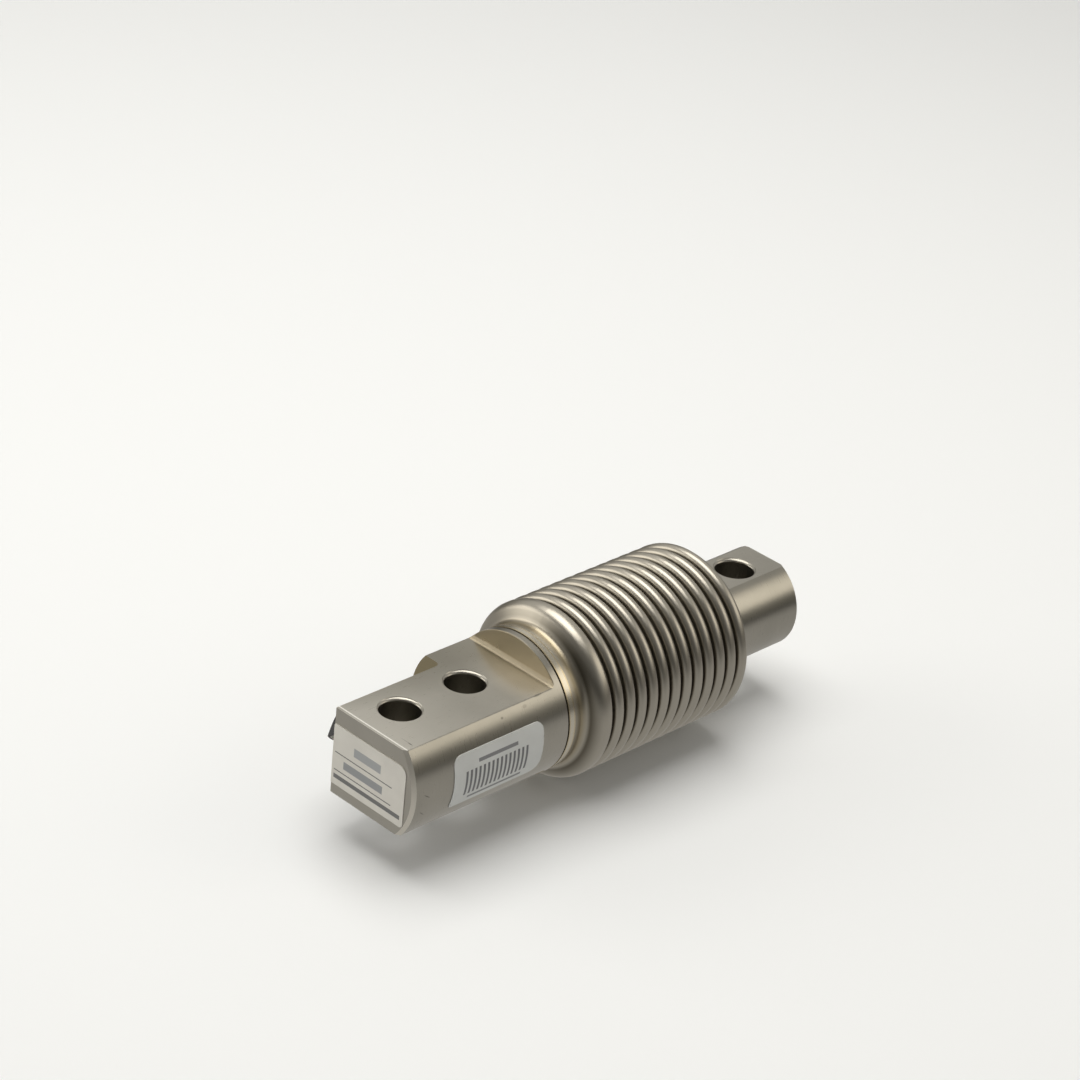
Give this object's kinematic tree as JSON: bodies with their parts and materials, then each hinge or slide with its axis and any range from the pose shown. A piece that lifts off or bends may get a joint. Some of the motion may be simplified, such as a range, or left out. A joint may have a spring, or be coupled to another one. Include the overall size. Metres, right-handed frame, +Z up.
{
  "type": "bending beam load cell",
  "caption": "Stainless bending beam load cell: bolt-down block with cable notch, welded bellows over the gauged beam, and a flatted load end with a through hole.",
  "frame": {"origin": "midway between the two mounting holes, on the block's lower flat", "axes": "+X along the beam to the load end, +Y across to the notched cable side, +Z up along the mounting holes"},
  "size_m": [0.1202, 0.0392, 0.0394],
  "materials": {
    "body_steel": "fine satin, turned on the rounds and milled on the flats",
    "bellows_steel": "smooth formed satin",
    "ring_steel": "satin with a rounded weld at both edges",
    "gauge_foil": "amber film with a fine metal grid",
    "board_pad": "matt silicone",
    "circuit_board": "green solder resist",
    "resistor": "glazed black top with tinned ends",
    "solder": "bright tin",
    "gauge_wire": "enamel",
    "core_insulation": "plain insulation, one shade a core",
    "plug_resin": "cast resin",
    "nut_plating": "nickel plating",
    "clamp_brass": "plain turned",
    "seal_rubber": "matt",
    "cable_sheath": "matt dark grey",
    "end_label_film": "off-white satin film",
    "side_label_film": "pale grey satin film"
  },
  "bodies": {
    "root": {"measuring_body": "body_steel", "bellows": "bellows_steel", "front_weld_ring": "ring_steel", "rear_weld_ring": "ring_steel", "gauge_top_front": "gauge_foil", "gauge_top_rear": "gauge_foil", "gauge_bottom_front": "gauge_foil", "gauge_bottom_rear": "gauge_foil", "board_pad": "board_pad", "terminal_board": "circuit_board", "trim_resistors": "resistor", "solder_joints": "solder", "gauge_wires_top": "gauge_wire", "gauge_wires_bottom": "gauge_wire", "cable_cores": "core_insulation", "duct_plug": "plug_resin", "gland_nut": "nut_plating", "gland_clamp_ring": "clamp_brass", "gland_seal": "seal_rubber", "cable": "cable_sheath", "end_label": "end_label_film", "side_label": "side_label_film"}
  },
  "joints": []
}
